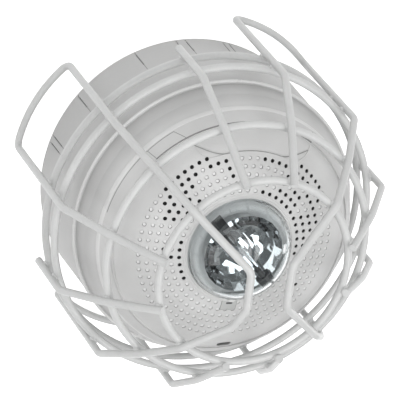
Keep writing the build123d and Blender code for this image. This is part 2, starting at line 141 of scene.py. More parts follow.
# Seams on the face of the cover, and the moulding lines on the box. A round seam is a radius
# and two angles, and the groove is two of them side by side.
seam_width = 0.32
seam_rise = 0.03
seam_sink = 0.5
panel_inner_radius = 54.3
panel_start = 84.0
panel_end = 146.0
panel_corner = 9.5
panel_corner_sweep = 14.4
panel_corner_power = 1.8
panel_corner_steps = 12
panel_arc_steps = 24
round_seams = ((72.3, 150.7, 195.0), (67.75, 84.0, 163.2), (67.95, 84.0, 163.2))
band_seams = ((150.7, 147.3), (164.0, 163.2), (84.5, 88.0))
band_reach = (72.3, 67.7)
round_seam_steps = 40
catch_seam_steps = 8
band_seam_steps = 6
mould_line_angles = (106.2, 108.9, 124.1, 127.8, 144.3, 171.0, 188.8, 191.6)
mould_line_ends = (6.5, 27.0)

# Holes of the grille, and the ranges of angles on each circle where a black disc of painted shade
# sits in them
hole_first_circle = 33.8
hole_circle_step = 4.23
hole_sectors = 6
holes_per_sector = 8
hole_start_angle = 27.5
panel_margin = 6.0
backing_height = 1.2
backing_sides = 20
pale_radius = 0.86
pale_depth = 0.35
hole_shade_radius = 1.12
hole_shade_depth = 0.5
hole_shade_ranges = (
    ((18, 108), (198, 242), (295, 300)),
    ((18, 57), (65, 91), (112, 116), (126, 130), (160, 190), (212, 216)),
    ((32, 55), (68, 78), (92, 102), (129, 132), (160, 187), (206, 210)),
    ((42, 68), (86, 90), (130, 133), (157, 188), (354, 356)),
    ((57, 60), (71, 84), (91, 108), (131, 143), (151, 179)),
    ((62, 90), (142, 173)),
)

# Catch under the lens, its slit, drawn as a black block of painted shade, and the round boss over
# it
catch_angle = -64.0
catch_reach = (30.3, 37.6)
catch_half_width = 4.3
catch_rise = 0.2
catch_edge = 0.1
catch_sink = 0.4
slit_reach = (32.8, 33.8)
slit_half_width = 1.8
slit_rise = catch_rise + 0.03
slit_edge = 0.02
slit_sink = 0.3
block_steps = 10
block_bevel_share = 0.3
boss_place = (29.9, 0.6)
boss_radius = 2.5
boss_rise = 2.2
boss_steps = 6
boss_sides = 24

# Lens
lens_radius = 29.1
lens_rise = 20.0
lens_wall = 1.6
lens_foot_edge = 0.4
lens_foot_play = 0.3
lens_steps = 24
lens_shadow = 0.6

# Reflector of two bowls and the tube along the ridge between them
lamp_angle = -18.0
reflector_gap = 0.2
reflector_height = 8.0
reflector_foot = well_floor + reflector_gap
reflector_rim = reflector_foot + reflector_height
reflector_radius = 22.0
reflector_foot_radius = 20.5
ridge_half_width = 1.1
bowl_middle = 9.4
bowl_depth = 7.2
bowl_rings = 4
bowl_sectors = 16
ridge_sectors = bowl_sectors // 3
facet_angle = 4.0
tube_radius = 2.0
tube_length = 36.0
tube_lift = 2.2
tube_height = reflector_rim + tube_lift
tube_end = 1.0
tube_end_steps = 6
tube_sides = 32

# Outline of an electrode: radius, and distance from the end of the tube
electrode_outline = ((0, 1.0), (1.1, 1.3), (1.2, 6.0), (0.5, 6.6), (0.4, 9.0), (0, 9.3))
electrode_sides = 20

# Turned shapes and their shading. Points nearer the axis than on_axis, or nearer each other in
# metres than merge_distance, are taken as one.
turned_steps = 144
sharp_angle = 40.0
on_axis = 1e-6
merge_distance = 1e-7

# Finishes: unevenness of colour and gloss, strength of the grain, and what clear ones have
mottle_range = (0.3, 0.7)
gloss_range = (0.85, 1.15)
speck_ratio = 9
speck_share = 0.3
bump_strength = 0.6
clear_mottle = 0.01
clear_index = 1.49


def polar(radius, angle, height):
    """Point at a radius, an angle in degrees and a height."""
    a = math.radians(angle)
    return Vector((radius * math.cos(a), radius * math.sin(a), height))


def radius_between(low, high, height):
    """Radius on the straight line between two (radius, height) points."""
    return low[0] + (height - low[1]) / (high[1] - low[1]) * (high[0] - low[0])


def cover_height(radius):
    """Height of the outer face of the cover at a radius."""
    if radius < crown_edge:
        return crown_centre + math.sqrt(crown_radius ** 2 - radius ** 2)
    return box_mouth[1] + math.sqrt(max(side_radius ** 2 - (radius - side_centre) ** 2, 0))


def cover_normal(radius, angle):
    """Way straight out of the face of the cover, from its slope over a short span."""
    rise = cover_height(radius + slope_step) - cover_height(radius - slope_step)
    return polar(-rise / (2 * slope_step), angle, 1).normalized()


def evenly(low, high, steps):
    """Values from low to high, in even steps."""
    return [low + (high - low) * i / steps for i in range(steps + 1)]


# Mesh helpers

def joined(rows):
    """Faces between neighbouring closed rows of points, without a corner twice."""
    faces = []
    for low, high in zip(rows, rows[1:]):
        for i in range(len(low)):
            j = (i + 1) % len(low)
            faces.append(list(dict.fromkeys((low[i], low[j], high[j], high[i]))))
    return faces


def turned(profile, count=turned_steps):
    """Points and faces of an outline of (radius, height) points, turned about the axis."""
    points, rows = [], []
    for radius, height in profile:
        if radius < on_axis:
            rows.append([len(points)] * count)
            points.append((0, 0, height))
            continue
        rows.append(range(len(points), len(points) + count))
        points += [polar(radius, 360 / count * i, height) for i in range(count)]
    return points, joined(rows)


def strip(line, ups):
    """Points and faces of a narrow bar along a line, let into the surface that it lies on."""
    points, faces = [], []
    for i, (place, up) in enumerate(zip(line, ups)):
        ahead = line[min(i + 1, len(line) - 1)] - line[max(i - 1, 0)]
        side = ahead.cross(up).normalized() * seam_width / 2
        top, bottom = place + up * seam_rise, place - up * seam_sink
        points += [top - side, top + side, bottom + side, bottom - side]
        if i:
            low, high = 4 * i - 4, 4 * i
            faces += [(low + k, high + k, high + (k + 1) % 4, low + (k + 1) % 4) for k in range(4)]
    faces += [(0, 1, 2, 3), tuple(len(points) - k for k in (1, 2, 3, 4))]
    return points, faces


def piece(name, mesh_data, material, node=None, smooth_angle=sharp_angle):
    """Object on the sounder's axis from (points in millimetres, faces), shaded by its angles."""
    points, faces = mesh_data
    mesh = bpy.data.meshes.new(name)
    shift = Vector((*fixture_place, 0))
    mesh.from_pydata([(Vector(p) + shift) * MM for p in points], [], faces)
    work = bmesh.new()
    work.from_mesh(mesh)
    bmesh.ops.remove_doubles(work, verts=work.verts, dist=merge_distance)
    bmesh.ops.recalc_face_normals(work, faces=work.faces)
    work.to_mesh(mesh)
    work.free()
    mesh.materials.append(material)
    mesh.shade_smooth()
    mesh.set_sharp_from_angle(angle=math.radians(smooth_angle))
    obj = bpy.data.objects.new(name, mesh)
    bpy.context.scene.collection.objects.link(obj)
    if node:
        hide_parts(node)
    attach(obj, "root")


# Node helpers

def make_node(tree, kind, values=None, **settings):
    """A node with its settings and the values of its named inputs."""
    made = tree.nodes.new(kind)
    for name, value in settings.items():
        setattr(made, name, value)
    for name, value in (values or {}).items():
        made.inputs[name].default_value = value
    return made


def chain(tree, *links):
    """Links pairs of (output, input) sockets."""
    for source, target in links:
        tree.links.new(source, target)


def geometry_tree(name, inputs):
    """An empty geometry tree with a geometry output, its named inputs and both end nodes."""
    tree = bpy.data.node_groups.new(name, "GeometryNodeTree")
    for label, kind in inputs:
        tree.interface.new_socket(label, in_out="INPUT", socket_type=kind)
    tree.interface.new_socket("Geometry", in_out="OUTPUT", socket_type="NodeSocketGeometry")
    return tree, tree.nodes.new("NodeGroupInput"), tree.nodes.new("NodeGroupOutput")


def grown(name, mesh, tree, values):
    """Object whose mesh is grown from another by a geometry tree, with no modifier left on it."""
    obj = bpy.data.objects.new(name, mesh)
    bpy.context.scene.collection.objects.link(obj)
    modifier = obj.modifiers.new("grow", "NODES")
    modifier.node_group = tree
    for item in tree.interface.items_tree:
        if item.item_type == "SOCKET" and item.in_out == "INPUT" and item.name in values:
            modifier[item.identifier] = values[item.name]
    graph = bpy.context.evaluated_depsgraph_get()
    result = bpy.data.meshes.new_from_object(obj.evaluated_get(graph))
    obj.modifiers.clear()
    obj.data = result
    result.name = name
    return obj


# Materials

def surface(name, base, roughness, mottle=0.04, mottle_scale=45.0, grain=0.00003,
            grain_scale=2600.0, wave=0.0, wave_scale=140.0, **extra):
    """Painted or moulded surface: uneven colour and gloss, fine grain and slow waves."""
    material = bpy.data.materials.new(name)
    material.use_nodes = True
    tree = material.node_tree
    shader = tree.nodes["Principled BSDF"]
    for socket, value in extra.items():
        shader.inputs[socket.replace("_", " ")].default_value = value
    place = make_node(tree, "ShaderNodeTexCoord").outputs["Object"]
    cloud = make_node(tree, "ShaderNodeTexNoise", {"Scale": mottle_scale, "Detail": 5.0})
    speck = make_node(tree, "ShaderNodeTexNoise", {
        "Scale": mottle_scale * speck_ratio, "Detail": 3.0})
    blend = make_node(tree, "ShaderNodeMix", {"Factor": speck_share})
    tint = make_node(tree, "ShaderNodeValToRGB")
    ends = tint.color_ramp.elements
    ends[0].position, ends[1].position = mottle_range
    ends[0].color = [c * (1 - mottle) for c in base] + [1]
    ends[1].color = [min(c * (1 + mottle), 1) for c in base] + [1]
    gloss = make_node(tree, "ShaderNodeMapRange", {
        "From Min": mottle_range[0], "From Max": mottle_range[1],
        "To Min": roughness * gloss_range[0], "To Max": roughness * gloss_range[1]})
    chain(tree, (place, cloud.inputs["Vector"]), (place, speck.inputs["Vector"]),
          (cloud.outputs["Fac"], blend.inputs["A"]), (speck.outputs["Fac"], blend.inputs["B"]),
          (blend.outputs["Result"], tint.inputs["Fac"]),
          (tint.outputs["Color"], shader.inputs["Base Color"]),
          (cloud.outputs["Fac"], gloss.inputs["Value"]),
          (gloss.outputs["Result"], shader.inputs["Roughness"]))
    fine = make_node(tree, "ShaderNodeTexNoise", {"Scale": grain_scale, "Detail": 2.0})
    slow = make_node(tree, "ShaderNodeTexNoise", {"Scale": wave_scale, "Detail": 2.0})
    fine_bump = make_node(tree, "ShaderNodeBump", {"Strength": bump_strength, "Distance": grain})
    slow_bump = make_node(tree, "ShaderNodeBump", {"Strength": bump_strength, "Distance": wave})
    chain(tree, (place, fine.inputs["Vector"]), (place, slow.inputs["Vector"]),
          (fine.outputs["Fac"], fine_bump.inputs["Height"]),
          (slow.outputs["Fac"], slow_bump.inputs["Height"]),
          (slow_bump.outputs["Normal"], fine_bump.inputs["Normal"]),
          (fine_bump.outputs["Normal"], shader.inputs["Normal"]))
    return material


def painted_shade_below(material):
    """Paints shade into a material: its colour darkens evenly from the upper of two heights down to
    the lower.
    """
    tree = material.node_tree
    shader = tree.nodes["Principled BSDF"]
    base = shader.inputs["Base Color"].links[0].from_socket
    place = make_node(tree, "ShaderNodeTexCoord").outputs["Object"]
    split = make_node(tree, "ShaderNodeSeparateXYZ")
    shade = make_node(tree, "ShaderNodeMapRange", {
        "From Min": painted_shade_heights[0] * MM, "From Max": painted_shade_heights[1] * MM,
        "To Min": painted_shade_lowest, "To Max": 1.0})
    darker = make_node(tree, "ShaderNodeVectorMath", operation="SCALE")
    chain(tree, (place, split.inputs[0]), (split.outputs["Z"], shade.inputs["Value"]),
          (base, darker.inputs[0]), (shade.outputs["Result"], darker.inputs["Scale"]),
          (darker.outputs["Vector"], shader.inputs["Base Color"]))
    return material


def clear_moulding(name, base, roughness, **extra):
    """Clear plastic or glass that lets the light on to what it covers."""
    material = surface(name, base, roughness, mottle=clear_mottle, grain=0.0,
                       Transmission_Weight=1.0, IOR=clear_index, **extra)
    tree = material.node_tree
    path = make_node(tree, "ShaderNodeLightPath")
    either = make_node(tree, "ShaderNodeMath", operation="MAXIMUM")
    solid = make_node(tree, "ShaderNodeMapRange", {"To Min": 1.0, "To Max": lens_shadow})
    chain(tree, (path.outputs["Is Shadow Ray"], either.inputs[0]),
          (path.outputs["Is Diffuse Ray"], either.inputs[1]),
          (either.outputs["Value"], solid.inputs["Value"]),
          (solid.outputs["Result"], tree.nodes["Principled BSDF"].inputs["Alpha"]))
    return material


def make_materials():
    """Every finish of the object, by a plain name."""
    return {
        "coat": surface("guard_coat", (0.68, 0.685, 0.68), 0.33, mottle=0.05, mottle_scale=70,
                        grain=0.00002, wave=0.0002, wave_scale=260),
        "box": surface("box_moulding", (0.61, 0.61, 0.605), 0.5, mottle=0.025, grain=0.00004),
        # Lighter copy of the plastic for the lip, the rim bead and the boss: a painted highlight.
        "edge": surface("painted_highlight_moulding", (0.82, 0.82, 0.815), 0.3, mottle=0.02),
        # The skirt and the cover carry painted shade, darker down towards the mouth of the box.
        "skirt": painted_shade_below(surface("skirt_moulding", (0.70, 0.70, 0.695), 0.45, mottle=0.02)),
        "plate": surface("plate_moulding", (0.55, 0.56, 0.55), 0.55),
        "cover": painted_shade_below(surface("cover_moulding", (0.69, 0.69, 0.685), 0.45, mottle=0.02,
                                      grain=0.00004)),
        "pale": surface("grille_backing", (0.86, 0.86, 0.86), 0.6, mottle=0.03),
        "black": surface("frame_enamel", (0.012, 0.012, 0.012), 0.45, mottle=0.2),
        # Black discs in the darker holes of the grille: painted shade.
        "hole_shade": surface("grille_hole_shade", (0.01, 0.01, 0.01), 0.95, mottle=0.3, grain=0.0001,
                         grain_scale=1800),
        "seam": surface("seam_shadow", (0.30, 0.30, 0.30), 0.8, mottle=0.1),
        "lens": clear_moulding("lens_moulding", (0.91, 0.95, 0.96), 0.03, wave=0.00008,
                               wave_scale=90),
        "mirror": surface("reflector_metal", (0.80, 0.81, 0.82), 0.05, mottle=0.03, grain=0.0,
                          wave=0.0001, wave_scale=160, Metallic=1.0),
        "glass": clear_moulding("tube_glass", (0.95, 0.96, 0.98), 0.03),
        "socket": surface("socket_moulding", (0.035, 0.036, 0.038), 0.4, mottle=0.2),
        "board": surface("board_lacquer", (0.02, 0.10, 0.04), 0.3, mottle=0.15),
        "sleeve": surface("sleeve_film", (0.02, 0.02, 0.03), 0.35, mottle=0.2),
        "zinc": surface("zinc_plating", (0.55, 0.56, 0.57), 0.35, mottle=0.08, Metallic=1.0),
        "paper": surface("cone_paper", (0.03, 0.03, 0.03), 0.9, mottle=0.3, grain=0.0002,
                         grain_scale=1400),
        "rubber": surface("edge_rubber", (0.015, 0.015, 0.015), 0.65, mottle=0.2),
        "winding": surface("coil_winding", (0.45, 0.20, 0.08), 0.35, mottle=0.15, Metallic=0.8),
        "ferrite": surface("magnet_ferrite", (0.03, 0.03, 0.032), 0.6, mottle=0.25),
        "laminate": surface("core_laminate", (0.20, 0.20, 0.21), 0.5, mottle=0.2, Metallic=0.7),
        "terminal": surface("terminal_moulding", (0.55, 0.55, 0.52), 0.4, mottle=0.04),
        "electrode": surface("electrode_metal", (0.10, 0.10, 0.10), 0.4, mottle=0.3, Metallic=0.6),
    }


# Finish of each node that keeps its own mesh
node_finish = {
    "back_box": "box", "mounting_plate": "plate", "plate_screws": "zinc", "grille_cover": "cover",
    "tube_sockets": "socket", "lamp_board": "board", "storage_capacitor": "sleeve",
    "speaker_frame": "black", "speaker_screws": "black", "speaker_cone": "paper",
    "cone_surround": "rubber", "dust_cap": "paper", "voice_coil": "winding",
    "magnet_front_plate": "zinc", "ring_magnet": "ferrite", "pole_piece": "zinc",
    "line_transformer": "laminate", "terminal_block": "terminal",
}


def finish_nodes(materials):
    """Gives each kept node its own finish."""
    for name, key in node_finish.items():
        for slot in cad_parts[name].material_slots:
            slot.material = materials[key]


# Guard

def wire_tree():
    """Tree that rounds the corners of a line of points and gives it a dipped, round section."""
    tree, start, end = geometry_tree("coated_wire", [
        ("Line", "NodeSocketGeometry"), ("Radius", "NodeSocketFloat"),
        ("Step", "NodeSocketFloat"), ("Coat variation", "NodeSocketFloat"),
        ("Material", "NodeSocketMaterial")])
    curve = make_node(tree, "GeometryNodeMeshToCurve")
    bend = make_node(tree, "GeometryNodeInputNamedAttribute", {"Name": "bend"}, data_type="FLOAT")
    rounded = make_node(tree, "GeometryNodeFilletCurve", {"Count": bend_steps}, mode="POLY")
    even = make_node(tree, "GeometryNodeResampleCurve", mode="LENGTH")
    ring = make_node(tree, "GeometryNodeCurvePrimitiveCircle", {"Resolution": wire_sides})
    tube = make_node(tree, "GeometryNodeCurveToMesh", {"Fill Caps": True})
    place = make_node(tree, "GeometryNodeInputPosition")
    noise = make_node(tree, "ShaderNodeTexNoise", {"Scale": coat_scale, "Detail": 2.0})
    thin = make_node(tree, "ShaderNodeMath", {1: 1.0}, operation="SUBTRACT")
    amount = make_node(tree, "ShaderNodeMath", operation="MULTIPLY")
    normal = make_node(tree, "GeometryNodeInputNormal")
    offset = make_node(tree, "ShaderNodeVectorMath", operation="SCALE")
    moved = make_node(tree, "GeometryNodeSetPosition")
    smooth = make_node(tree, "GeometryNodeSetShadeSmooth")
    real = make_node(tree, "GeometryNodeRealizeInstances")
    finish = make_node(tree, "GeometryNodeSetMaterial")
    chain(tree, (start.outputs["Line"], curve.inputs["Mesh"]),
          (curve.outputs["Curve"], rounded.inputs["Curve"]),
          (bend.outputs["Attribute"], rounded.inputs["Radius"]),
          (rounded.outputs["Curve"], even.inputs["Curve"]),
          (start.outputs["Step"], even.inputs["Length"]),
          (even.outputs["Curve"], tube.inputs["Curve"]),
          (start.outputs["Radius"], ring.inputs["Radius"]),
          (ring.outputs["Curve"], tube.inputs["Profile Curve"]),
          (tube.outputs["Mesh"], moved.inputs["Geometry"]),
          (place.outputs["Position"], noise.inputs["Vector"]),
          (noise.outputs["Fac"], thin.inputs[0]),
          (thin.outputs["Value"], amount.inputs[0]),
          (start.outputs["Coat variation"], amount.inputs[1]),
          (normal.outputs["Normal"], offset.inputs["Vector"]),
          (amount.outputs["Value"], offset.inputs["Scale"]),
          (offset.outputs["Vector"], moved.inputs["Offset"]),
          (moved.outputs["Geometry"], smooth.inputs["Geometry"]),
          (smooth.outputs["Geometry"], real.inputs["Geometry"]),
          (real.outputs["Geometry"], finish.inputs["Geometry"]),
          (start.outputs["Material"], finish.inputs["Material"]),
          (finish.outputs["Geometry"], end.inputs["Geometry"]))
    return tree


def line_mesh(name, points, bends, closed=False):
    """Mesh of a line of points, with the radius of the bend at each."""
    count = len(points)
    edges = [(i, (i + 1) % count) for i in range(count if closed else count - 1)]
    mesh = bpy.data.meshes.new(name)
    mesh.from_pydata([Vector(p) * MM for p in points], edges, [])
    bend = mesh.attributes.new("bend", "FLOAT", "POINT")
    bend.data.foreach_set("value", [b * MM for b in bends])
    return mesh


def rib_points(angle):
    """Corner points of a rib from the front ring down to its shoulder."""
    return [polar(r, angle, z) for r, z in (front_point, mid_point, shoulder_point)]


def rib_end(angle):
    """End of a rib, just past the middle of the front ring."""
    lean = math.atan2(front_point[1] - mid_point[1], mid_point[0] - front_point[0])
    return polar(front_point[0] - rib_overrun * math.cos(lean), angle,
                 front_point[1] + rib_overrun * math.sin(lean))


def foot_points(middle, step):
    """Two corners of a foot and the point that its arc bends round."""
    arc_point = foot_radius / math.cos(math.radians(foot_half_angle))
    return [polar(foot_radius, middle - step * foot_half_angle, wire_radius),
            polar(arc_point, middle, wire_radius),
            polar(foot_radius, middle + step * foot_half_angle, wire_radius)]


def foot_wire(feet, first_corners, last_corners):
    """Points and bends of a long wire that makes two feet and crosses the front."""
    first_foot, second_foot = feet
    outer_1, inner_1 = first_foot + foot_half_angle, first_foot - foot_half_angle
    inner_2, outer_2 = second_foot - foot_half_angle, second_foot + foot_half_angle
    points = [rib_end(outer_1)] + rib_points(outer_1)[1:] + foot_points(first_foot, -1)
    points += rib_points(inner_1)[::-1]
    points += [polar(r, inner_1 + turn, z) for r, turn, z, _ in first_corners]
    points += [polar(r, inner_2 + turn, z) for r, turn, z, _ in last_corners]
    points += rib_points(inner_2) + foot_points(second_foot, 1)
    points += rib_points(outer_2)[:0:-1] + [rib_end(outer_2)]
    down = [mid_bend, shoulder_bend]
    leg_pair = down + [foot_bend, foot_arc_bend, foot_bend] + down[::-1]
    peaks = [bend for _, _, _, bend in first_corners + last_corners]
    bends = leg_pair + [front_bend] + peaks + [front_bend] + leg_pair
    return points, [0.0] + bends + [0.0]


def short_rib(angle):
    """Points and bends of a rib between two feet."""
    foot = polar(radius_between(foot_point, shoulder_point, short_rib_foot_height), angle,
                 short_rib_foot_height)
    points = [rib_end(angle)] + rib_points(angle)[1:] + [foot]
    return points, [0.0, mid_bend, shoulder_bend, 0.0]


def guard_rings():
    """Centre line (radius, height) of each ring, and the way out of it to the ribs."""
    run, rise = foot_point[0] - shoulder_point[0], shoulder_point[1] - foot_point[1]
    side = Vector((rise, run)).normalized()
    rings = {}
    for name, height in zip(("ring_1_lowest", "ring_2_side"), ring_heights):
        gap = weld_spacing * math.hypot(run, rise) / rise
        rings[name] = ((radius_between(foot_point, shoulder_point, height) - gap, height), side)
    run, rise = mid_point[0] - front_point[0], front_point[1] - mid_point[1]
    slope = Vector((run, rise)).normalized()
    out = Vector((rise, run)).normalized()
    for name, point, setback in (("ring_3_slope", mid_point, 0.0),
                                 ("ring_4_front", front_point, front_ring_setback)):
        centre = (point[0] + setback * slope.x - weld_spacing * out.x,
                  point[1] - setback * slope.y - weld_spacing * out.y)
        rings[name] = (centre, out)
    return rings


def make_guard(materials):
    """The ten wires of the cage, each in place of its own node."""
    tree = wire_tree()
    lines = {
        "foot_wire_left": foot_wire(left_feet, left_first_corners, left_last_corners),
        "foot_wire_right": foot_wire(right_feet, right_corners, right_corners),
    }
    for number, angle in enumerate(short_rib_angles):
        lines[f"short_rib_{number + 1}"] = short_rib(angle)
    for name, ((radius, height), _) in guard_rings().items():
        points = [polar(radius, 360 / ring_points * i, height) for i in range(ring_points)]
        lines[name] = (points, [0.0] * ring_points)
    values = {"Radius": wire_radius * MM, "Step": wire_step * MM,
              "Coat variation": coat_variation * MM, "Material": materials["coat"]}
    for name, (points, bends) in lines.items():
        mesh = line_mesh(name, points, bends, closed=name.startswith("ring"))
        wire = grown("wire_" + name, mesh, tree, values)
        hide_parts(name)
        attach(wire, "root")


def scatter_tree(name, kind, settings):
    """Tree that puts a small shape on each point, turned as the point says."""
    tree, start, end = geometry_tree(name, [
        ("Points", "NodeSocketGeometry"), ("Size", "NodeSocketVector"),
        ("Material", "NodeSocketMaterial")])
    source = make_node(tree, kind, settings)
    shaped = make_node(tree, "GeometryNodeTransform")
    turn = make_node(tree, "GeometryNodeInputNamedAttribute", {"Name": "turn"},
                     data_type="FLOAT_VECTOR")
    placed = make_node(tree, "GeometryNodeInstanceOnPoints")
    real = make_node(tree, "GeometryNodeRealizeInstances")
    finish = make_node(tree, "GeometryNodeSetMaterial")
    chain(tree, (start.outputs["Points"], placed.inputs["Points"]),
          (source.outputs["Mesh"], shaped.inputs["Geometry"]),
          (start.outputs["Size"], shaped.inputs["Scale"]),
          (shaped.outputs["Geometry"], placed.inputs["Instance"]),
          (turn.outputs["Attribute"], placed.inputs["Rotation"]),
          (placed.outputs["Instances"], real.inputs["Geometry"]),
          (real.outputs["Geometry"], finish.inputs["Geometry"]),
          (start.outputs["Material"], finish.inputs["Material"]),
          (finish.outputs["Geometry"], end.inputs["Geometry"]))
    return tree


def scattered(name, places, normals, tree, size, material):
    """Small shapes at places in millimetres, each with its own Z along a normal."""
    angles = []
    for place, normal in zip(places, normals):
        along = Vector((0, 0, 1)).cross(place).normalized()
        axes = Matrix((along, normal.cross(along), normal)).transposed()
        angles.extend(axes.to_euler())
    mesh = bpy.data.meshes.new(name + "_points")
    mesh.from_pydata([place * MM for place in places], [], [])
    turn = mesh.attributes.new("turn", "FLOAT_VECTOR", "POINT")
    turn.data.foreach_set("vector", angles)
    obj = grown(name, mesh, tree, {"Size": Vector(size) * MM, "Material": material})
    obj.data.shade_smooth()
    obj.data.set_sharp_from_angle(angle=math.radians(sharp_angle))
    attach(obj, "root")
    return obj


def make_welds(materials):
    """Weld beads where each rib crosses each ring, under the coat."""
    feet = sorted(left_feet + right_feet)
    legs = [foot + side * foot_half_angle for foot in feet for side in (-1, 1)]
    half = weld_spacing / 2
    places, normals = [], []
    for (radius, height), out in guard_rings().values():
        for angle in legs + list(short_rib_angles):
            places.append(polar(radius + half * out.x, angle, height + half * out.y))
            normals.append(polar(out.x, angle, out.y))
    tree = scatter_tree("weld_bead", "GeometryNodeMeshIcoSphere", {
        "Radius": 1.0, "Subdivisions": 3})
    scattered("weld_beads", places, normals, tree, weld_size, materials["coat"])


# Cover

def shows_hole_shade(circle, angle):
    """Whether a hole of the grille gets a black disc of painted shade."""
    return any(low <= angle <= high for low, high in hole_shade_ranges[circle])


def make_backing(materials):
    """Backing just inside the holes: pale where the frame lies under them, or a black disc of
    painted shade.
    """
    kinds = {
        "pale": (pale_radius, pale_depth, "pale", "cover_plastic"),
        "black": (hole_shade_radius, hole_shade_depth, "hole_shade", "cone_paper"),
    }
    places = {kind: [] for kind in kinds}
    normals = {kind: [] for kind in kinds}
    for circle in range(len(hole_shade_ranges)):
        radius = hole_first_circle + hole_circle_step * circle
        count = hole_sectors * (holes_per_sector + circle)
        lean = math.asin(radius / crown_radius)
        for i in range(count):
            angle = (hole_start_angle + 360 / count * i) % 360
            in_panel = panel_start + panel_margin < angle < panel_end - panel_margin
            if circle == len(hole_shade_ranges) - 1 and in_panel:
                continue
            kind = "black" if shows_hole_shade(circle, angle) else "pale"
            depth = kinds[kind][1]
            reach = crown_radius - (backing_height / 2 + depth)
            normal = polar(math.sin(lean), angle, math.cos(lean))
            places[kind].append(normal * reach + Vector((0, 0, crown_centre)))
            normals[kind].append(normal)
    tree = scatter_tree("hole_backing", "GeometryNodeMeshCylinder", {
        "Vertices": backing_sides, "Radius": 1.0, "Depth": 1.0})
    for kind, (radius, _, finish, slot) in kinds.items():
        size = (radius, radius, backing_height)
        backing = scattered(f"{kind}_backing", places[kind], normals[kind], tree, size,
                            materials[finish])
        backing.data.transform(Matrix.Translation(Vector((*fixture_place, 0)) * MM))


def bead_profile(radius, half_width, rise):
    """Closed outline of a low rounded bead that runs round on the face of the cover."""
    root = (radius, cover_height(radius) - bead_root)
    outline = [root]
    for a in evenly(0, math.pi, bead_steps):
        reach = radius + half_width * math.cos(a)
        outline.append((reach, cover_height(reach) + rise * math.sin(a)))
    return outline + [root]


def lip_profile():
    """Closed round outline of the lip at the mouth of the box."""
    radius, height = lip_place
    return [(radius + lip_radius * math.cos(a), height + lip_radius * math.sin(a))
            for a in evenly(0, 2 * math.pi, lip_steps)]


def panel_seam():
    """Seam round the smooth panel, as (radius, angle) points: a corner, an arc and a corner."""
    corner = [(panel_inner_radius + panel_corner * share ** panel_corner_power,
               panel_corner_sweep * (1 - share)) for share in evenly(0, 1, panel_corner_steps)]
    first = [(radius, panel_start + turn) for radius, turn in reversed(corner)]
    last = [(radius, panel_end - turn) for radius, turn in corner]
    arc = evenly(first[-1][1], last[0][1], panel_arc_steps)[1:-1]
    return first + [(panel_inner_radius, angle) for angle in arc] + last


def catch_seams():
    """Three free edges of the catch, as lines of (radius, angle) points."""
    margin = seam_width / 2
    inner, outer = catch_reach[0], catch_reach[1] + margin
    half = catch_half_width + margin
    corners = [(inner, -half), (outer, -half), (outer, half), (inner, half)]
    seams = []
    for (x0, y0), (x1, y1) in zip(corners, corners[1:]):
        steps = zip(evenly(x0, x1, catch_seam_steps), evenly(y0, y1, catch_seam_steps))
        seams.append([(math.hypot(x, y), catch_angle + math.degrees(math.atan2(y, x)))
                      for x, y in steps])
    return seams


def on_face(radius, angle):
    """Point on the face of the cover, which is raised outside the groove."""
    rise = band_rise if radius > groove_circle else 0
    return polar(radius, angle, cover_height(radius)) + cover_normal(radius, angle) * rise


def make_seams(materials):
    """Seams on the cover and moulding lines on the box, as one piece."""
    lines = [panel_seam()]
    for radius, low, high in round_seams:
        lines.append([(radius, angle) for angle in evenly(low, high, round_seam_steps)])
    lines += catch_seams()
    for ends in band_seams:
        lines.append(list(zip(evenly(*band_reach, band_seam_steps),
                              evenly(*ends, band_seam_steps))))
    bars = [strip([on_face(*place) for place in line], [cover_normal(*place) for place in line])
            for line in lines]
    for angle in mould_line_angles:
        ends = [polar(radius_between(box_foot, box_mouth, z), angle, z) for z in mould_line_ends]
        bars.append(strip(ends, [polar(1, angle, 0)] * 2))
    points, faces = [], []
    for bar_points, bar_faces in bars:
        faces += [tuple(v + len(points) for v in face) for face in bar_faces]
        points += bar_points
    piece("cover_seams", (points, faces), materials["seam"])


def by_catch(reach, across, rise):
    """Point over the cover, from its reach along the catch and its way across it."""
    height = cover_height(math.hypot(reach, across)) + rise
    return polar(reach, catch_angle, height) + polar(across, catch_angle + 90, 0)


def block(reach, half_width, sink, rise, edge):
    """Points and faces of a low block on the cover with a rounded upper edge."""
    inner, outer = reach
    corners = [(inner, -half_width), (outer, -half_width), (outer, half_width),
               (inner, half_width), (inner, -half_width)]
    middle = (inner + outer) / 2
    soft = edge * block_bevel_share
    points, rows = [], []
    for inset, height in ((0, -sink), (0, rise - edge), (soft, rise - soft), (edge, rise)):
        rows.append(range(len(points), len(points) + 4 * block_steps))
        for (x0, y0), (x1, y1) in zip(corners, corners[1:]):
            steps = zip(evenly(x0, x1, block_steps)[:-1], evenly(y0, y1, block_steps)[:-1])
            for x, y in steps:
                x -= math.copysign(min(inset, abs(x - middle)), x - middle)
                y -= math.copysign(min(inset, abs(y)), y)
                points.append(by_catch(x, y, height))
    return points, joined(rows) + [tuple(rows[-1])]


def make_catch(materials):
    """Square catch under the lens, with a slit drawn as a black block of painted shade, and the
    round boss over it.
    """
    piece("lens_catch", block(catch_reach, catch_half_width, catch_sink, catch_rise, catch_edge),
          materials["plate"])
    outline = [(boss_radius * math.cos(a), boss_rise * math.sin(a))
               for a in evenly(-math.pi / 2, math.pi / 2, boss_steps)]
    ball, faces = turned(outline, boss_sides)
    place = by_catch(*boss_place, 0.0)
    # The boss is painted lighter, as a highlight.
    piece("lens_boss", ([place + Vector(p) for p in ball], faces), materials["edge"])
    # Black block over the slit: painted shade.
    piece("catch_slit_painted_shade", block(slit_reach, slit_half_width, slit_sink, slit_rise, slit_edge),
          materials["socket"])


def make_cover_trim(materials):
    """Lip of the box, skirt of the cover and the beads round its face."""
    # The lip and the rim bead are painted lighter, as a highlight.
    piece("box_lip", turned(lip_profile()), materials["edge"])
    piece("cover_skirt", turned(skirt_outline + skirt_outline[:1]), materials["skirt"])
    piece("rim_bead", turned(bead_profile(*rim_bead)), materials["edge"])
    piece("bezel_bead", turned(bead_profile(*bezel_bead)), materials["cover"])


# Lamp

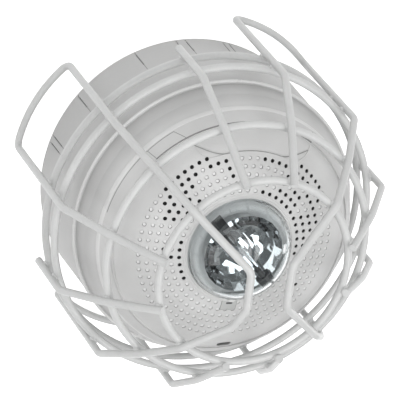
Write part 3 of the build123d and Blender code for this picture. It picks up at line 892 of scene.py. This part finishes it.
def lens_profile():
    """Outline of the lens: outer dome, short rim and inner dome."""
    inner_radius, inner_rise = lens_radius - lens_wall, lens_rise - lens_wall
    foot = well_floor + lens_foot_edge
    profile = [(lens_radius * math.cos(a), bezel_height + lens_rise * math.sin(a))
               for a in evenly(math.pi / 2, 0, lens_steps)]
    profile += [(lens_radius, foot), (lens_radius - lens_foot_edge, well_floor),
                (inner_radius + lens_foot_play, well_floor), (inner_radius, foot)]
    return profile + [(inner_radius * math.cos(a), bezel_height + inner_rise * math.sin(a))
                      for a in evenly(0, math.pi / 2, lens_steps)]


def bowl_edge(side):
    """Outline of one bowl: along the ridge, then round the edge of the reflector."""
    half = math.acos(ridge_half_width / reflector_radius)
    end = reflector_radius * math.sin(half)
    outline = [(x, side * ridge_half_width) for x in evenly(-end, end, ridge_sectors)[:-1]]
    for a in evenly(half, -half, bowl_sectors - ridge_sectors)[:-1]:
        outline.append((reflector_radius * math.sin(a), side * reflector_radius * math.cos(a)))
    return outline


def bowl(side, first):
    """Points and faces of one faceted bowl, whose points are numbered from first."""
    edge = bowl_edge(side)
    middle = side * bowl_middle
    points, faces = [(0, middle, reflector_rim - bowl_depth)], []
    for ring in range(1, bowl_rings + 1):
        share = ring / bowl_rings
        height = reflector_rim - bowl_depth * (1 - share ** 2)
        points += [(x * share, middle + (y - middle) * share, height) for x, y in edge]
    for i in range(bowl_sectors):
        j = (i + 1) % bowl_sectors
        faces.append((first, first + 1 + i, first + 1 + j))
        for ring in range(bowl_rings - 1):
            low = first + 1 + ring * bowl_sectors
            high = low + bowl_sectors
            faces.append((low + i, high + i, high + j, low + j))
    return points, faces


def reflector_mesh():
    """Points and faces of the two bowls, the ridge between them and the round wall."""
    points, faces = [], []
    for side in (-1, 1):
        more, more_faces = bowl(side, len(points))
        points += more
        faces += more_faces
    half = len(points) // 2
    near = range(half - bowl_sectors, half)
    far = range(2 * half - bowl_sectors, 2 * half)
    faces += [(near[i], far[i], far[i + 1], near[i + 1]) for i in range(ridge_sectors)]
    around = [*near[ridge_sectors:], near[0], far[0], *far[:ridge_sectors - 1:-1]]
    foot = len(points)
    shrink = reflector_foot_radius / reflector_radius
    for v in around:
        x, y, _ = points[v]
        points.append((x * shrink, y * shrink, reflector_foot))
    for i in range(len(around)):
        j = (i + 1) % len(around)
        faces.append((around[i], around[j], foot + j, foot + i))
    faces.append(tuple(range(foot, foot + len(around))))
    return points, faces


def make_reflector(materials):
    """Bright reflector of two faceted bowls, turned with the lamp."""
    points, faces = reflector_mesh()
    turn = Matrix.Rotation(math.radians(lamp_angle), 3, "Z")
    piece("reflector_bowls", ([turn @ Vector(p) for p in points], faces), materials["mirror"],
          "reflector", smooth_angle=facet_angle)


def along_ridge(mesh_data, height):
    """Turned shape laid along the ridge of the reflector, at a height."""
    points, faces = mesh_data
    flat = Matrix.Rotation(math.radians(90), 3, "Y")
    turn = Matrix.Rotation(math.radians(lamp_angle), 3, "Z") @ flat
    return [turn @ Vector(p) + Vector((0, 0, height)) for p in points], faces


def make_lamp(materials):
    """Glass tube with rounded ends, and the electrode in each end."""
    half = tube_length / 2
    profile = [(tube_radius * math.sin(a), -half + tube_end * (1 - math.cos(a)))
               for a in evenly(0, math.pi / 2, tube_end_steps)]
    profile += [(radius, -z) for radius, z in reversed(profile)]
    piece("lamp_tube", along_ridge(turned(profile, tube_sides), tube_height), materials["glass"],
          "flash_tube")
    for name, side in (("electrode_left", -1), ("electrode_right", 1)):
        rod = turned([(radius, side * (half - reach)) for radius, reach in electrode_outline],
                     electrode_sides)
        piece(name, along_ridge(rod, tube_height), materials["electrode"])


# Light, floor and camera

def make_camera():
    """Camera at the photograph's place and angle."""
    data = bpy.data.cameras.new("camera")
    data.lens = camera_lens
    data.sensor_width = camera_sensor
    data.clip_start, data.clip_end = camera_clip
    camera = bpy.data.objects.new("camera", data)
    axes = Matrix((camera_right, [-v for v in camera_down], [-v for v in camera_forward]))
    camera.matrix_world = Matrix.Translation(Vector(camera_place) * MM) @ axes.transposed().to_4x4()
    bpy.context.scene.collection.objects.link(camera)
    bpy.context.scene.camera = camera


def make_area(name, place, target, size, power):
    """Soft square lamp at a place, turned to a target, all in metres."""
    data = bpy.data.lights.new(name, "AREA")
    data.size = size
    data.energy = power
    lamp = bpy.data.objects.new(name, data)
    lamp.location = place
    lamp.rotation_euler = (Vector(target) - Vector(place)).to_track_quat("-Z", "Y").to_euler()
    bpy.context.scene.collection.objects.link(lamp)


def any_ray(tree, path, rays):
    """Output that is 1 for any of these kinds of ray."""
    seen = path.outputs[rays[0]]
    for ray in rays[1:]:
        either = make_node(tree, "ShaderNodeMath", operation="MAXIMUM")
        chain(tree, (seen, either.inputs[0]), (path.outputs[ray], either.inputs[1]))
        seen = either.outputs["Value"]
    return seen


def make_floor():
    """White floor that shows a faint shadow and reads white to the camera."""
    half = floor_half_width
    mesh = bpy.data.meshes.new("floor")
    mesh.from_pydata([(-half, -half, 0), (half, -half, 0), (half, half, 0), (-half, half, 0)],
                     [], [(0, 1, 2, 3)])
    floor = bpy.data.objects.new("floor", mesh)
    bpy.context.scene.collection.objects.link(floor)
    material = bpy.data.materials.new("floor_white")
    material.use_nodes = True
    tree = material.node_tree
    shader = tree.nodes["Principled BSDF"]
    shader.inputs["Base Color"].default_value = (floor_white, floor_white, floor_white, 1)
    shader.inputs["Roughness"].default_value = floor_roughness
    shader.inputs["Emission Color"].default_value = (1, 1, 1, 1)
    path = make_node(tree, "ShaderNodeLightPath")
    glow = make_node(tree, "ShaderNodeMath", {1: floor_glow}, operation="MULTIPLY")
    rays = ("Is Camera Ray", "Is Transmission Ray", "Is Glossy Ray")
    chain(tree, (any_ray(tree, path, rays), glow.inputs[0]),
          (glow.outputs["Value"], shader.inputs["Emission Strength"]))
    mesh.materials.append(material)


def make_world():
    """Even pale surroundings, darker where a bright surface mirrors them."""
    world = bpy.data.worlds.new("surroundings")
    world.use_nodes = True
    back = world.node_tree.nodes["Background"]
    back.inputs["Color"].default_value = (1, 1, 1, 1)
    tree = world.node_tree
    path = make_node(tree, "ShaderNodeLightPath")
    level = make_node(tree, "ShaderNodeMapRange", {
        "To Min": world_level, "To Max": world_level_in_gloss})
    plain = make_node(tree, "ShaderNodeMath", {0: 1.0}, operation="SUBTRACT", use_clamp=True)
    open_view = make_node(tree, "ShaderNodeMath", operation="MULTIPLY")
    white = make_node(tree, "ShaderNodeMix", {"B": 1.0})
    chain(tree, (path.outputs["Glossy Depth"], level.inputs["Value"]),
          (path.outputs["Glossy Depth"], plain.inputs[1]),
          (any_ray(tree, path, ("Is Camera Ray", "Is Transmission Ray")),
           open_view.inputs[0]),
          (plain.outputs["Value"], open_view.inputs[1]),
          (open_view.outputs["Value"], white.inputs["Factor"]),
          (level.outputs["Result"], white.inputs["A"]),
          (white.outputs["Result"], back.inputs["Strength"]))
    bpy.context.scene.world = world


def make_scene():
    """Dresses the frame and lights it."""
    materials = make_materials()
    finish_nodes(materials)
    make_guard(materials)
    make_welds(materials)
    make_backing(materials)
    make_cover_trim(materials)
    make_seams(materials)
    make_catch(materials)
    piece("lens_shell", turned(lens_profile()), materials["lens"], "lens_dome")
    make_reflector(materials)
    make_lamp(materials)
    make_floor()
    make_world()
    for name, (place, size, power) in lamps.items():
        make_area(name, place, lamp_target, size, power)
    make_camera()
    bpy.context.scene.view_settings.view_transform = "Standard"


make_scene()
